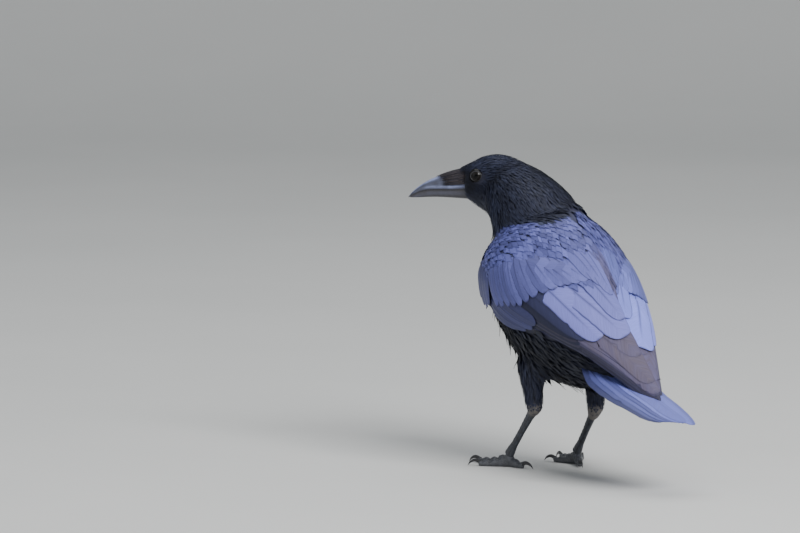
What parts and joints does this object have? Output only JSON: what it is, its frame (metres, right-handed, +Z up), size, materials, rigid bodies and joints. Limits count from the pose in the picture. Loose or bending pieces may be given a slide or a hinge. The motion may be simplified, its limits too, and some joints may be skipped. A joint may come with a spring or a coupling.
{
  "type": "carrion crow, standing, life-size model",
  "caption": "Life-size carrion crow standing on both feet, head turned left over the shoulder, wings folded along the back and tail held low and straight behind.",
  "frame": {"origin": "middle of the bird's own box at floor level, under the trunk", "axes": "+Z up; the trunk faces -Y and the tail points along +Y; the bird's left side is +X"},
  "size_m": [0.145, 0.3854, 0.2884],
  "materials": {
    "hood_plumage": "fine brownish-black feathers with a faint blue sheen",
    "body_plumage": "soft, near-black feathers",
    "flight_plumage": "glossy black feathers with a violet-blue sheen",
    "bill_horn": "dark horn with a dull shine",
    "claw_horn": "smooth black horn",
    "eye": "wet, very dark brown",
    "leg_scale": "dark grey scaled skin"
  },
  "bodies": {
    "root": {"bill_lower": "bill_horn", "bill_upper": "bill_horn", "claw_left_hind": "claw_horn", "claw_left_inner": "claw_horn", "claw_left_middle": "claw_horn", "claw_left_outer": "claw_horn", "claw_right_hind": "claw_horn", "claw_right_inner": "claw_horn", "claw_right_middle": "claw_horn", "claw_right_outer": "claw_horn", "eye_left": "eye", "eye_right": "eye", "head": "hood_plumage", "neck": "hood_plumage", "rump": "body_plumage", "shank_left": "leg_scale", "shank_right": "leg_scale", "tail": "flight_plumage", "thigh_left": "body_plumage", "thigh_right": "body_plumage", "toe_left_hind": "leg_scale", "toe_left_inner": "leg_scale", "toe_left_middle": "leg_scale", "toe_left_outer": "leg_scale", "toe_right_hind": "leg_scale", "toe_right_inner": "leg_scale", "toe_right_middle": "leg_scale", "toe_right_outer": "leg_scale", "trunk": "body_plumage", "wing_left": "flight_plumage", "wing_right": "flight_plumage"}
  },
  "joints": []
}
